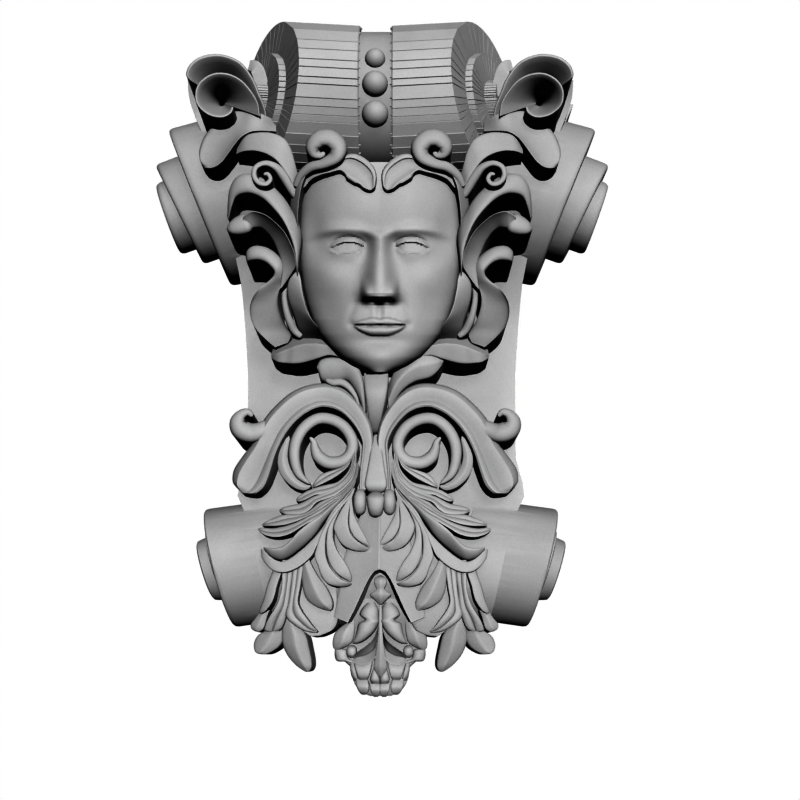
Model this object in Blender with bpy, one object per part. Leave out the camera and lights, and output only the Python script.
"""Carved scroll bracket: a wall corbel with a beaded top roll, a crowned mask, locks, scrolls and leaves.

It is carved from one block, so it is one solid. Every size is in millimetres until a vertex is made.
The wall is the plane y = 0 and the front looks along -Y. "Out" is the distance from the wall.

The carving is set out as a carver does it, on a front drawing seen from a station point below the
bracket. A point of the drawing is (across, up) in millimetres on a board square to the line of sight,
and it lies in the block where its sight line reaches the given distance out. So a shape keeps its look
from the front when its depth changes.
"""

import math

import bmesh
import bpy

MM = 0.001

# The station point and the drawing board.
EYE_ACROSS = 11.0
EYE_OUT = 621.5
EYE_UP = -143.0
SIGHT_RISE = math.radians(13.0)
BOARD_DISTANCE = 550.0

# Centre lines of the three layers of work, across from the middle of the wall face.
BODY_CENTRE = 1.4
ORNAMENT_CENTRE = -1.2
HEAD_CENTRE = 0.9

# The side profile: two scroll arcs joined by a hollow.
UPPER_SCROLL_OUT = 60.0
UPPER_SCROLL_UP = 100.0
UPPER_SCROLL_RADIUS = 48.0
SHOULDER_OUT = 62.0
SHOULDER_UP = 155.0
LOWER_SCROLL_OUT = 56.0
LOWER_SCROLL_UP = -100.0
LOWER_SCROLL_RADIUS = 30.0
WAIST_OUT = 62.0
WAIST_UP = -22.0
FRONT_CROWN = 5.0

# Half widths of the body at its top, waist and foot.
TOP_HALF_WIDTH = 106.0
UPPER_HALF_WIDTH = 84.0
WAIST_HALF_WIDTH = 70.0
FOOT_HALF_WIDTH = 53.0

# The top roll that carries the beads, and the seat behind it.
ROLL_OUT = 97.0
ROLL_UP = 135.0
ROLL_RADIUS = 40.0
ROLL_SIDES = 24
ROLL_HALF_LENGTH = 57.5
ROLL_SPLAY = 20.5
ROLL_LEAN = 0.06
CHANNEL_HALF_WIDTH = 8.0
CHANNEL_DEPTH = 3.0
CHANNEL_LAP = 4.0
SEAT_HALF_WIDTH = 40.0
SEAT_UP = 172.0
SEAT_FLOOR = 90.0
BEADS = ((170.5, 5.0), (158.0, 6.3), (143.0, 6.5))

# The mask, from hairline to chin, with the face divided into equal thirds.
MASK_HALF_WIDTH = 40.5
MASK_TOP = 119.0
MASK_CHIN = 14.0
BROW_OUT = 129.0
CHIN_OUT = 112.0
MASK_BACK = 84.0
MASK_COLUMNS = 14
MASK_ROWS = 22

# How finely the carving is cut: rows for each span of a spine, and sides round a volute.
SPAN_ROWS = 1
VOLUTE_SIDES = 20
THINNEST = 0.15
FLATNESS = math.radians(3.5)

# Cross-sections of the carving, as (place across, depth) in half widths.
FLAT = ((-1.0, 0.0), (0.0, 0.0), (1.0, 0.0))
ROUND = ((-1.0, -0.8), (-0.5, -0.08), (0.5, -0.08), (1.0, -0.8))
RIDGE = ((-1.0, -0.5), (0.0, 0.0), (1.0, -0.5))
SLIM = ((-1.0, -0.7), (0.0, 0.0), (1.0, -0.7))
DISH = ((-1.0, 0.0), (-0.35, -0.36), (0.35, -0.36), (1.0, 0.0))
VALLEY = ((-1.0, 0.0), (0.0, -0.45), (1.0, 0.0))
FUNNEL = ((-1.0, 0.0), (1.0, -1.7))
SCROLL = ((-1.0, -0.55), (-0.7, -0.12), (-0.1, -0.3), (0.72, 0.0), (1.0, -0.25))


def sight(across, up, out):
    """The place in space where the drawing's point lies, that far out from the wall."""
    rise, run = math.sin(SIGHT_RISE), math.cos(SIGHT_RISE)
    ahead = BOARD_DISTANCE * run - up * rise
    climb = BOARD_DISTANCE * rise + up * run
    reach = (EYE_OUT - out) / ahead
    return (EYE_ACROSS + (across - EYE_ACROSS) * reach, -out, EYE_UP + climb * reach)


def curve_through(points, per_span):
    """A Catmull-Rom curve through the points, each a tuple of numbers."""
    padded = [points[0], *points, points[-1]]
    found = []
    for i in range(len(points) - 1):
        before, start, end, after = padded[i : i + 4]
        for step in range(per_span):
            t = step / per_span
            found.append(
                tuple(
                    q
                    + 0.5 * t * (r - p)
                    + 0.5 * t**2 * (2 * p - 5 * q + 4 * r - s)
                    + 0.5 * t**3 * (3 * q - p - 3 * r + s)
                    for p, q, r, s in zip(before, start, end, after)
                )
            )
    found.append(tuple(points[-1]))
    return found


def mesh_object(name, mesh):
    """A new object with the bmesh, its doubles merged and its faces pointing out."""
    bmesh.ops.remove_doubles(mesh, verts=mesh.verts, dist=0.01 * MM)
    bmesh.ops.recalc_face_normals(mesh, faces=mesh.faces)
    data = bpy.data.meshes.new(name)
    mesh.to_mesh(data)
    mesh.free()
    return bpy.data.objects.new(name, data)


def relief(name, rows, back):
    """A closed solid with the grid of points as its front, cut straight back to the given distance out."""
    mesh = bmesh.new()
    front = [[mesh.verts.new([value * MM for value in point]) for point in row] for row in rows]
    rear = [
        [mesh.verts.new((row[i][0] * MM, -back * MM, row[i][2] * MM)) for i in (0, -1)]
        for row in rows
    ]
    for i in range(len(rows) - 1):
        low, high = front[i], front[i + 1]
        for j in range(len(low) - 1):
            mesh.faces.new((low[j], low[j + 1], high[j + 1], high[j]))
        mesh.faces.new((rear[i][1], rear[i][0], rear[i + 1][0], rear[i + 1][1]))
        mesh.faces.new((rear[i][0], low[0], high[0], rear[i + 1][0]))
        mesh.faces.new((low[-1], rear[i][1], rear[i + 1][1], high[-1]))
    for row, ends in ((front[0], rear[0]), (front[-1], rear[-1])):
        mesh.faces.new((*row, ends[1], ends[0]))
    return mesh_object(name, mesh)


def mirrored(piece, centre):
    """A copy of the piece on the other side of the centre line."""
    data = piece.data.copy()
    for vertex in data.vertices:
        vertex.co.x = 2 * centre * MM - vertex.co.x
    data.flip_normals()
    return bpy.data.objects.new(piece.name + "_right", data)


def blade(name, section, back, spine):
    """A leaf, lock or ribbon along a spine of (across, up, out, half width) points on the drawing."""
    path = curve_through(spine, SPAN_ROWS)
    rows = []
    for i, (across, up, out, half) in enumerate(path):
        before, after = path[max(i - 1, 0)], path[min(i + 1, len(path) - 1)]
        run, climb = after[0] - before[0], after[1] - before[1]
        length = math.hypot(run, climb)
        half = max(half, THINNEST)
        side, lift = -climb / length * half, run / length * half
        rows.append(
            [
                sight(across + side * place, up + lift * place, out + depth * half)
                for place, depth in section
            ]
        )
    return relief(name, rows, back)


def body_profile():
    """(up, out) down the front: over the upper scroll, through the hollow and round the lower one."""
    points = [(SHOULDER_UP, SHOULDER_OUT)]
    for degrees in (70, 50, 30, 10, -10, -28):
        turn = math.radians(degrees)
        points.append(
            (
                UPPER_SCROLL_UP + UPPER_SCROLL_RADIUS * math.sin(turn),
                UPPER_SCROLL_OUT + UPPER_SCROLL_RADIUS * math.cos(turn),
            )
        )
    points += [(52.0, WAIST_OUT + 22), (26.0, WAIST_OUT + 8), (WAIST_UP, WAIST_OUT), (-52.0, WAIST_OUT + 3)]
    for degrees in (52, 28, 4, -20, -45, -68, -90):
        turn = math.radians(degrees)
        points.append(
            (
                LOWER_SCROLL_UP + LOWER_SCROLL_RADIUS * math.sin(turn),
                LOWER_SCROLL_OUT + LOWER_SCROLL_RADIUS * math.cos(turn),
            )
        )
    return points


def body_half_width(up):
    """The body flares to its top and draws in at its foot."""
    levels = (
        (SHOULDER_UP, TOP_HALF_WIDTH),
        (UPPER_SCROLL_UP, UPPER_HALF_WIDTH),
        (45.0, WAIST_HALF_WIDTH + 3.6),
        (0.0, WAIST_HALF_WIDTH),
        (-45.0, WAIST_HALF_WIDTH - 1.0),
        (-64.0, WAIST_HALF_WIDTH + 3.0),
        (-84.0, WAIST_HALF_WIDTH - 7.0),
        (LOWER_SCROLL_UP - LOWER_SCROLL_RADIUS, FOOT_HALF_WIDTH),
    )
    for (high, wide), (low, narrow) in zip(levels, levels[1:]):
        if up >= low:
            return narrow + (wide - narrow) * (up - low) / (high - low)
    return levels[-1][1]


def body():
    """The block itself, with its front slightly crowned, cut flat where it meets the wall."""
    rows = []
    for up, out in body_profile():
        half = body_half_width(up)
        rows.append(
            [
                (BODY_CENTRE + half * place, -(out + FRONT_CROWN * (1 - place * place)), up)
                for place in (-1.0, -0.55, 0.0, 0.55, 1.0)
            ]
        )
    return relief("body", rows, 0.0)


def roll(name, axis, rings, tilt, lean):
    """A turned piece on a cross axis, left of the body's centre line.

    axis is the middle of the outer end as (out, up), and rings are (distance from the centre line, radius).
    Each ring leans out at its top by tilt, and the axis drops outwards by lean, for each millimetre.
    """
    far = rings[-1][0]
    mesh = bmesh.new()
    loops = []
    for distance, radius in rings:
        loop = []
        for k in range(VOLUTE_SIDES):
            turn = 2 * math.pi * k / VOLUTE_SIDES
            forward, lift = radius * math.cos(turn), radius * math.sin(turn)
            drop = lean * (far - distance)
            loop.append(
                mesh.verts.new(
                    (
                        (BODY_CENTRE - distance - tilt * lift) * MM,
                        -(axis[0] + forward) * MM,
                        (axis[1] + lift + drop) * MM,
                    )
                )
            )
        loops.append(loop)
    for low, high in zip(loops, loops[1:]):
        for k in range(VOLUTE_SIDES):
            after = (k + 1) % VOLUTE_SIDES
            mesh.faces.new((low[k], low[after], high[after], high[k]))
    mesh.faces.new(loops[0][::-1])
    mesh.faces.new(loops[-1])
    return mesh_object(name, mesh)


def top_roll():
    """One half of the top roll with its stepped spiral end."""
    axis = (ROLL_OUT, ROLL_UP)
    steps = (
        ("top_roll", ROLL_RADIUS, CHANNEL_HALF_WIDTH, ROLL_HALF_LENGTH),
        ("roll_step", ROLL_RADIUS * 0.62, 20.0, ROLL_HALF_LENGTH + 6.0),
        ("roll_eye", ROLL_RADIUS * 0.30, 20.0, ROLL_HALF_LENGTH + 14.0),
    )
    splay = ROLL_SPLAY / ROLL_RADIUS
    return [
        slanted_drum(name, axis, radius, near, far, splay) for name, radius, near, far in steps
    ]


def slanted_drum(name, axis, radius, near, far, splay):
    """A drum whose inner end is square and whose outer end turns towards the front."""
    mesh = bmesh.new()
    ends = []
    for distance, slope in ((near, 0.0), (far, splay)):
        loop = []
        for k in range(ROLL_SIDES):
            turn = 2 * math.pi * (k + 0.5) / ROLL_SIDES
            forward, lift = radius * math.cos(turn), radius * math.sin(turn)
            reach = distance - slope * forward
            loop.append(
                mesh.verts.new(
                    (
                        (ORNAMENT_CENTRE - reach) * MM,
                        -(axis[0] + forward) * MM,
                        (axis[1] + lift + ROLL_LEAN * (reach - near)) * MM,
                    )
                )
            )
        ends.append(loop)
    for k in range(ROLL_SIDES):
        after = (k + 1) % ROLL_SIDES
        mesh.faces.new((ends[0][k], ends[0][after], ends[1][after], ends[1][k]))
    mesh.faces.new(ends[0][::-1])
    mesh.faces.new(ends[1])
    return mesh_object(name, mesh)


def channel_core():
    """The sunk core between the two halves of the top roll."""
    reach = CHANNEL_HALF_WIDTH + CHANNEL_LAP
    return slanted_drum(
        "channel", (ROLL_OUT, ROLL_UP), ROLL_RADIUS - CHANNEL_DEPTH, -reach, reach, 0.0
    )


def seat():
    """The block behind the top roll, flat on top, that ties the roll to the wall."""
    mesh = bmesh.new()
    bmesh.ops.create_cube(mesh, size=1.0)
    for vertex in mesh.verts:
        vertex.co.x = (ORNAMENT_CENTRE + vertex.co.x * 2 * SEAT_HALF_WIDTH) * MM
        vertex.co.y = -(vertex.co.y + 0.5) * ROLL_OUT * MM
        vertex.co.z = (SEAT_FLOOR + (vertex.co.z + 0.5) * (SEAT_UP - SEAT_FLOOR)) * MM
    return mesh_object("seat", mesh)


def bead(name, up_on_board, radius):
    """A bead half sunk in the channel, at that height of the drawing."""
    core = ROLL_RADIUS - CHANNEL_DEPTH
    out = ROLL_OUT + core
    for _ in range(8):
        place = sight(ORNAMENT_CENTRE, up_on_board, out)
        lift = min(abs(place[2] - ROLL_UP), core * 0.99)
        out = ROLL_OUT + math.sqrt(core * core - lift * lift)
    mesh = bmesh.new()
    bmesh.ops.create_uvsphere(mesh, u_segments=12, v_segments=8, radius=radius * MM)
    for vertex in mesh.verts:
        vertex.co.x += ORNAMENT_CENTRE * MM
        vertex.co.y += -out * MM
        vertex.co.z += place[2] * MM
    return mesh_object(name, mesh)


def volutes():
    """The stepped side scrolls at the top and the foot, left side."""
    upper, lower = UPPER_SCROLL_OUT, LOWER_SCROLL_OUT
    high, low = UPPER_SCROLL_UP, LOWER_SCROLL_UP
    return [
        roll("upper_ring", (upper, high - 6.2), ((60, 43.5), (97.5, 42), (99.5, 40.6)), 0.41, 0.25),
        roll("upper_step", (upper, high - 9.9), ((60, 27.5), (109, 26.5), (110.5, 25.4)), 0.50, 0.4),
        roll("upper_eye", (upper, high - 12.6), ((60, 20), (115, 18.8), (116.5, 17.4)), 0.36, 0.4),
        roll("lower_ring", (lower, low - 0.2), ((40, 29.5), (80.5, 29.5), (82, 28.4)), 0.283, 0.14),
        roll(
            "lower_eye",
            (lower, low - 1.7),
            ((40, 19), (82, 19), (84, 15.5), (88, 14.8), (89.4, 13.6)),
            0.33,
            0.2,
        ),
    ]


def bump(value, centre, spread):
    """A smooth hill one unit high."""
    return math.exp(-((value - centre) ** 2) / (2 * spread**2))


def face_out(across, down):
    """How far out the mask's face stands, for a place across in millimetres and down from 0 to 1."""
    side = min(abs(across) / (MASK_HALF_WIDTH * mask_outline(down)), 1.0)
    plane = BROW_OUT + (CHIN_OUT - BROW_OUT) * down
    dome = 18.0 * (math.sqrt(max(1 - side**2.3, 0.0)) - 1.0)
    third = 1 / 3
    eye_width = 2 * MASK_HALF_WIDTH / 5
    eye_line, nose_base, mouth = third + 0.075, 2 * third, third * (2 + third)
    reach = abs(across)
    socket = -5.0 * bump(reach, eye_width, 8.0) * bump(down, eye_line - 0.005, 0.035)
    socket -= 3.0 * bump(reach, eye_width * 0.55, 3.0) * bump(down, eye_line - 0.01, 0.03)
    eyeball = 4.2 * bump(reach, eye_width, 5.2) * bump(down, eye_line + 0.008, 0.024)
    brow = 1.8 * bump(reach, eye_width, 10.0) * bump(down, third - 0.01, 0.02)
    along = min(max((down - third) / (nose_base - third), 0.0), 1.0)
    under = 1.0 if down < nose_base - 0.015 else max(0.0, 1 - (down - nose_base + 0.015) / 0.03)
    root = bump(min(down, third - 0.03), third - 0.03, 0.03)
    nose = (2.5 + 9.5 * along) * under * root * bump(reach, 0.0, 3.0 + 1.8 * along)
    wings = 3.5 * bump(reach, eye_width * 0.40, 2.6) * bump(down, nose_base - 0.03, 0.022)
    upper_lip, lower_lip = bump(down, mouth - 0.02, 0.014), bump(down, mouth + 0.024, 0.018)
    lips = 3.6 * bump(reach, 0.0, 8.5) * (upper_lip + 1.05 * lower_lip)
    parting = -2.0 * bump(reach, 0.0, 10.0) * bump(down, mouth, 0.006)
    chin = 4.5 * bump(reach, 0.0, 9.0) * bump(down, 0.93, 0.045)
    cheek = 2.0 * bump(reach, eye_width * 1.4, 7.0) * bump(down, 0.55, 0.07)
    return plane + dome + socket + eyeball + brow + nose + wings + lips + parting + chin + cheek


def mask_outline(down):
    """The oval of the face as a share of its half width."""
    levels = (
        (0.0, 0.90),
        (0.2, 0.98),
        (0.4, 1.0),
        (0.6, 0.95),
        (0.75, 0.84),
        (0.88, 0.62),
        (0.96, 0.40),
        (1.0, 0.20),
    )
    for (high, wide), (low, narrow) in zip(levels, levels[1:]):
        if down <= low:
            return wide + (narrow - wide) * (down - high) / (low - high)
    return levels[-1][1]


def mask():
    """The mask, a relief on a plane that leans forward at the brow."""
    rows = []
    for i in range(MASK_ROWS + 1):
        down = i / MASK_ROWS
        half = MASK_HALF_WIDTH * mask_outline(down)
        up = MASK_TOP + (MASK_CHIN - MASK_TOP) * down
        rows.append(
            [
                sight(HEAD_CENTRE + half * place, up, face_out(half * place, down))
                for place in [2 * j / MASK_COLUMNS - 1 for j in range(MASK_COLUMNS + 1)]
            ]
        )
    return relief("mask", rows, MASK_BACK)


def crown_work():
    """The corner curls, the lobes, the bands and the diadem round the head, left side."""
    return [
        blade("curl", FUNNEL, 70, [
            (-55, 141, 116, 3.5), (-63.5, 158.5, 121, 5), (-71.5, 166, 123, 5),
            (-80, 168, 124, 5), (-89.5, 168, 124, 4.5), (-93.5, 163.5, 123, 4),
            (-93.5, 158, 121, 2),
        ]),
        blade("curl_side", FLAT, 70, [
            (-92, 163, 112, 3.5), (-91, 154, 107, 4), (-87.5, 143, 102, 4.5),
        ]),
        blade("crown_side", SLIM, 70, [
            (-60, 170, 104, 3), (-62, 161, 104, 4.5), (-61, 151, 104, 4),
        ]),
        blade("inner_curl", FUNNEL, 70, [
            (-62, 143, 122, 3.5), (-69, 153, 126, 4.5), (-75.5, 157.5, 127, 4.5),
            (-82, 158, 128, 4), (-86.5, 155.5, 128, 4), (-87, 151, 127, 3.5),
            (-84, 147, 127, 3), (-79.5, 145, 127, 2.3), (-75, 145.5, 126, 1.6),
            (-73, 148.5, 125, 0.8),
        ]),
        blade("lobe", DISH, 70, [
            (-56, 138.5, 118, 4), (-66, 139, 121, 6), (-74.5, 136, 122, 7),
            (-80.5, 129.5, 121, 7.5), (-83.5, 122, 120, 6), (-84, 117.5, 118, 3),
        ]),
        blade("arched_band", FLAT, 90, [
            (-68.5, 123, 118, 2), (-64, 129, 121, 4), (-58, 130.5, 123, 4.5),
            (-51, 127.5, 124, 4.8), (-46, 121, 124, 4.5), (-42.5, 110, 122, 2.5),
        ]),
        blade("small_spiral", SLIM, 92, [
            (-43, 100, 122, 2.4), (-45, 107.5, 124, 2.8), (-49, 114, 125, 2.6),
            (-54, 118, 126, 2.4), (-59, 117, 127, 2.2), (-62, 113, 127, 2.1),
            (-60.5, 109, 127, 2), (-56.5, 107.3, 127, 1.9), (-53.2, 109.3, 127, 1.8),
            (-54.5, 112.5, 127, 1.2),
        ]),
        blade("head_band", FLAT, 90, [
            (-35, 119, 130, 2.5), (-40, 114, 128, 3.5), (-42, 104, 126, 3.5),
            (-41.5, 92, 123, 3), (-40.5, 80, 119, 2),
        ]),
        blade("diadem", DISH, 112, [
            (-39, 104, 128, 2), (-36, 110.5, 131, 2.5), (-30, 115, 134, 2.5),
            (-23, 117, 136, 2.8), (-16, 118, 138, 4.2), (-10, 116.5, 139, 5.8),
            (-5.6, 111.5, 139, 5.4), (-5, 105.5, 138, 2.5),
        ]),
        blade("horn", ROUND, 112, [
            (-32, 116, 136, 2.5), (-33.5, 122.5, 139, 3.8), (-31, 127.5, 141, 4.8),
            (-25.5, 129, 142, 5), (-20.5, 127, 142, 4.8), (-19, 123, 141, 3.8),
            (-22, 121, 140, 2.4),
        ]),
    ]


def hair():
    """The locks that roll away from the head, down to the leaf under the jaw, left side."""
    return [
        blade("lock_a", ROUND, 90, [
            (-73.5, 95, 112, 1.8), (-71, 104, 116, 4.5), (-66, 108, 119, 6),
            (-59.5, 106.5, 121, 6), (-52.5, 102, 122, 5.5), (-47, 95.5, 122, 5),
            (-42.5, 86, 121, 4.5), (-39.5, 72, 116, 2.5),
        ]),
        blade("lock_b", ROUND, 88, [
            (-75, 86.5, 112, 2), (-70.5, 87.5, 116, 4.2), (-64, 89.5, 118, 5.2),
            (-58, 89.5, 119, 4.6), (-52.5, 86, 119, 4.6), (-47, 78.5, 118, 4.8),
            (-43.5, 69, 116, 4), (-44, 58, 112, 2.5),
        ]),
        blade("lock_c", ROUND, 82, [
            (-65.5, 71.5, 106, 2.4), (-61, 74, 110, 3.8), (-56, 73, 111, 4.2),
            (-51.5, 68.5, 111, 4.4), (-50, 62.5, 110, 4), (-53, 56.5, 107, 3.5),
            (-57, 51, 103, 3),
        ]),
        blade("lock_d", DISH, 62, [
            (-50, 60, 106, 4), (-55, 53, 103, 6.5), (-56.5, 46.5, 99, 7.8), (-56, 40, 96, 7),
            (-52.5, 33.5, 93, 5.5), (-48.5, 28, 90, 3),
        ]),
        blade("neck_leaf", RIDGE, 56, [
            (-53.2, 22, 84, 0.5), (-47, 25, 87, 4.2), (-40, 27, 89, 5.8), (-32, 27, 90, 6),
            (-23, 25.5, 90, 5), (-13, 23, 88, 3),
        ]),
        blade("jaw_strip", SLIM, 68, [
            (-44.5, 60, 112, 2.5), (-44, 45, 108, 3), (-40.5, 36, 104, 3), (-33, 29.5, 100, 3),
            (-22, 25, 96, 2),
        ]),
    ]


def scroll_work():
    """The C-scroll under the mask with its curl, tail and crescent, left side."""
    return [
        blade("scroll_arm", SCROLL, 56, [
            (-3.5, -25, 92, 2.8), (-8, -12, 93, 4.2), (-14.5, -3, 94, 5.2), (-22, 1.5, 94, 6.2),
            (-30, 2, 94, 6.2), (-38.5, -1, 94, 6.6), (-46, -7, 93, 6.6), (-52, -14.5, 92, 6.8),
            (-56.5, -24, 91, 6.6), (-60.5, -32, 90, 8.2), (-64, -39.5, 89, 9),
            (-67, -45.5, 88, 5),
        ]),
        blade("arm_curl", SLIM, 56, [
            (-53, -12, 91, 4), (-60, -16, 92, 4.8), (-66.5, -16.6, 93, 5.2),
            (-70.3, -14, 93, 5.2), (-68.5, -9, 92, 3.4), (-64.5, -7.5, 91, 2),
        ]),
        blade("inner_scroll", SLIM, 56, [
            (-34, -42, 88, 0.6), (-39.5, -37, 90, 2.2), (-41.8, -29, 91, 2.8),
            (-41, -21, 91, 3), (-37, -14, 91, 3), (-30.5, -9.6, 91, 3), (-23.5, -9.8, 91, 3),
            (-17, -13.5, 91, 3), (-13, -20, 91, 3), (-13.5, -26.5, 91, 3), (-18, -30.7, 91, 3),
            (-25, -31.8, 91, 3.2), (-30, -29, 91, 3.2), (-32.3, -24, 91, 2.4),
            (-34, -19.5, 91, 0.9),
        ]),
        blade("scroll_crescent", RIDGE, 56, [
            (-44.5, -18, 86, 0.8), (-47.5, -27.5, 87, 2.4), (-46.5, -35, 87, 3),
            (-42, -41, 87, 2.5), (-37, -43.5, 86, 1.8), (-33.5, -43, 85, 0.4),
        ]),
        blade("cup_side", SLIM, 60, [
            (-8, -42, 96, 3.5), (-9, -51, 100, 3.6), (-9, -57.5, 97, 2),
        ]),
    ]


def fan():
    """The acanthus fan that spreads from the stem over the lower roll, left side."""
    return [
        blade("frond_1", RIDGE, 56, [
            (-11.5, -33, 92, 2.5), (-20, -38.5, 93, 3.6), (-27, -41.5, 92, 2.8),
            (-32.5, -43.5, 89, 0.5),
        ]),
        blade("frond_2", RIDGE, 56, [
            (-11, -36, 93, 3), (-20.5, -43.5, 95, 4), (-31.5, -47, 93, 3.4),
            (-41, -50.5, 90, 0.6),
        ]),
        blade("frond_3", RIDGE, 58, [
            (-10.5, -40, 95, 3), (-20.5, -49, 97, 4.6), (-34, -54, 96, 4.6),
            (-49, -56, 92, 0.8),
        ]),
        blade("frond_4", RIDGE, 60, [
            (-10, -43, 96, 3), (-20.5, -55, 99, 5), (-38, -61.5, 99, 4.8), (-58, -63, 95, 0.8),
        ]),
        blade("frond_5", RIDGE, 62, [
            (-10.5, -44, 97, 3.5), (-20, -58, 101, 5.5), (-36.5, -67, 101, 5),
            (-51, -67.5, 99, 3.5), (-60, -64.5, 96, 0.8),
        ]),
        blade("frond_6", VALLEY, 64, [
            (-17, -52, 99, 5), (-28, -68, 103, 8), (-42, -78.5, 104, 8.5), (-53, -80, 102, 6.5),
            (-59, -74.5, 99, 1.5),
        ]),
        blade("frond_7", RIDGE, 64, [
            (-15.5, -50, 99, 4.5), (-22, -65, 102, 6), (-25, -76.5, 103, 5),
            (-22, -86.5, 103, 4.5), (-13.3, -92, 102, 0.6),
        ]),
        blade("frond_8", RIDGE, 64, [
            (-9.5, -45, 97, 2.5), (-12.5, -57.5, 100, 5.5), (-13, -66, 101, 5.5),
            (-9.5, -72.5, 101, 4), (-3.8, -75, 100, 0.6),
        ]),
        blade("frond_9", RIDGE, 64, [
            (-35, -74, 98, 4), (-37, -86, 100, 6.5), (-35.5, -93.5, 100, 6),
            (-30, -100.5, 99, 4.4), (-23.7, -104.8, 97, 0.6),
        ]),
        blade("frond_10", RIDGE, 64, [
            (-42, -80, 98, 3.5), (-43, -93.5, 99, 4.5), (-40.5, -105, 98, 5),
            (-36, -111.5, 97, 3.6), (-29.7, -115, 95, 0.6),
        ]),
        blade("frond_11", RIDGE, 64, [
            (-45, -80, 98, 3.5), (-48.5, -95, 99, 5), (-51.5, -106, 97, 5.6),
            (-53, -113, 95, 5), (-53.5, -117, 93, 2.5),
        ]),
        blade("frond_12", RIDGE, 64, [
            (-50, -80, 96, 3), (-54, -94, 95, 4.5), (-58.5, -106, 92, 1.5),
        ]),
        blade("hanging_1", RIDGE, 60, [
            (-54, -105, 86, 5), (-59.5, -110, 86, 5), (-62.5, -114.5, 84, 2.5),
        ]),
        blade("hanging_2", RIDGE, 60, [
            (-46, -112, 88, 5), (-53, -118, 87, 8.6), (-61, -125.5, 84, 3),
        ]),
        blade("hanging_3", RIDGE, 60, [
            (-43.5, -109, 89, 6), (-40.8, -123, 88, 9.5), (-36.5, -136, 84, 2.5),
        ]),
        blade("prow", FLAT, 60, [
            (-3, -57, 93, 4), (-6.5, -70, 95, 7), (-11, -83, 96, 7), (-15.5, -96, 96, 5.4),
            (-18.5, -109, 94, 4.6),
        ]),
    ]


def pendant():
    """The palmette that hangs under the arch: its left members."""
    return [
        blade("kidney_leaf", SLIM, 60, [
            (-11.5, -121.5, 82, 1.2), (-6.5, -118.5, 85, 3.4), (-2.6, -113.5, 86, 4.2),
            (-2.2, -107.5, 86, 3.8), (-4.5, -103.8, 85, 3), (-7.2, -106.5, 84, 2.2),
        ]),
        blade("pendant_leaf", RIDGE, 58, [
            (-10.5, -111, 78, 3), (-17, -116.5, 80, 5.6), (-21.4, -124.5, 77, 1.8),
        ]),
        blade("pendant_ball", SLIM, 58, [
            (-13.5, -121, 79, 3), (-15.5, -126.5, 81, 4.4), (-15.5, -131, 78, 2),
        ]),
        blade("petal_1", SLIM, 56, [
            (-8.4, -129, 80, 6), (-8.8, -135.5, 82, 6), (-8.6, -141, 79, 4),
        ]),
        blade("petal_2", SLIM, 54, [
            (-7.2, -137, 77, 4.8), (-6.6, -142.5, 78, 4.2), (-5.4, -146, 75, 2),
        ]),
        blade("petal_3", SLIM, 54, [
            (-1.2, -136, 79, 2.6), (-1.2, -144, 79, 3.4), (-1.2, -148.5, 76, 2),
        ]),
    ]


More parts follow.
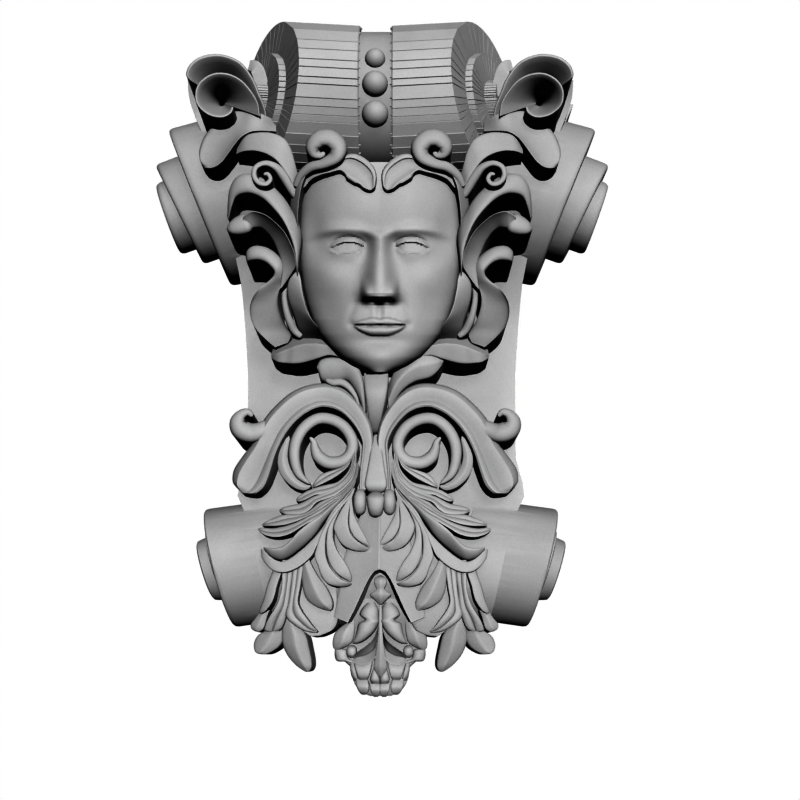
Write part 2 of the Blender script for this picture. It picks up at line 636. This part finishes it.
def centre_work():
    """The keel, the stem with its cup, and the pendant's back and rib, on the centre line."""
    return [
        blade("chin_leaf_left", RIDGE, 58, [
            (-6.7, -5, 90, 1.5), (-9.2, 3, 92, 3.5), (-14.2, 8.5, 94, 4.8), (-21.2, 12, 94, 5),
            (-28.2, 14.5, 93, 4.6), (-32.2, 16, 91, 2),
        ]),
        blade("chin_leaf_right", RIDGE, 58, [
            (4, -6, 90, 1.2), (7.5, 3, 93, 4), (12.5, 11.5, 96, 6), (20, 17, 97, 7),
            (27.5, 17.5, 96, 6), (33, 20, 93, 1.5),
        ]),
        blade("keel", FLAT, 56, [
            (-1, 18, 92, 7), (-1, 4, 96, 5.5), (-1.5, -8, 92, 3.5), (-1.8, -17, 84, 1.8),
        ]),
        blade("stem", DISH, 56, [
            (-0.8, -18, 91, 5), (-0.8, -30, 94, 6.5), (-1, -42, 97, 8.5), (-1, -49, 98, 10),
        ]),
        blade("cup_middle", SLIM, 60, [
            (-1.2, -44, 99, 4.6), (-1.2, -52, 102, 4.8), (-1.2, -58.5, 99, 3),
        ]),
        blade("pendant_back", FLAT, 50, [
            (1.2, -96, 72, 8), (1.2, -106, 75, 14), (1.2, -114, 76, 20), (1.2, -121, 76, 22.5),
            (1.2, -128, 75, 20), (1.2, -134, 74, 16), (1.2, -140, 72, 13.5),
            (1.2, -144.5, 71, 10), (1.2, -148, 69, 2.5),
        ]),
        blade("pendant_rib", RIDGE, 58, [
            (1.2, -100, 84, 1), (1.2, -118, 87, 1.6), (1.2, -131, 85, 3.8),
            (1.2, -139, 81, 0.6),
        ]),
        blade("bud", RIDGE, 60, [
            (1.2, -87.5, 80, 1.5), (1.2, -91.5, 83, 3.4), (1.2, -95, 83, 3.4),
            (1.2, -97.5, 83, 5.6), (1.2, -102.5, 81, 0.6),
        ]),
    ]


def main():
    for obj in list(bpy.data.objects):
        bpy.data.objects.remove(obj)
    parts = bpy.data.collections.new("carved_bracket")
    carving = bpy.data.collections.new("carving")
    bpy.context.scene.collection.children.link(parts)
    bpy.context.scene.collection.children.link(carving)

    block = body()
    block.name = "bracket"
    parts.objects.link(block)

    pieces = []
    for centre, left in (
        (BODY_CENTRE, volutes() + pendant()),
        (HEAD_CENTRE, crown_work() + hair()),
        (ORNAMENT_CENTRE, top_roll() + scroll_work() + fan()),
    ):
        pieces += left + [mirrored(piece, centre) for piece in left]
    pieces += [mask(), channel_core(), seat(), *centre_work()]
    pieces += [bead(f"bead_{i}", up, radius) for i, (up, radius) in enumerate(BEADS)]
    for piece in pieces:
        carving.objects.link(piece)
        piece.hide_render = True
        piece.display_type = "WIRE"

    join = block.modifiers.new("join_carving", "BOOLEAN")
    join.operation = "UNION"
    join.operand_type = "COLLECTION"
    join.collection = carving
    join.solver = "EXACT"

    # Faces that lie almost flat with their neighbours are merged.
    thin = block.modifiers.new("merge_flat_faces", "DECIMATE")
    thin.decimate_type = "DISSOLVE"
    thin.angle_limit = FLATNESS

    stone = bpy.data.materials.new("honed_grey_stone")
    stone.use_nodes = True
    shader = stone.node_tree.nodes["Principled BSDF"]
    shader.inputs["Base Color"].default_value = (0.42, 0.42, 0.42, 1.0)
    shader.inputs["Roughness"].default_value = 0.55
    shader.inputs["Metallic"].default_value = 0.0
    block.data.materials.append(stone)


main()
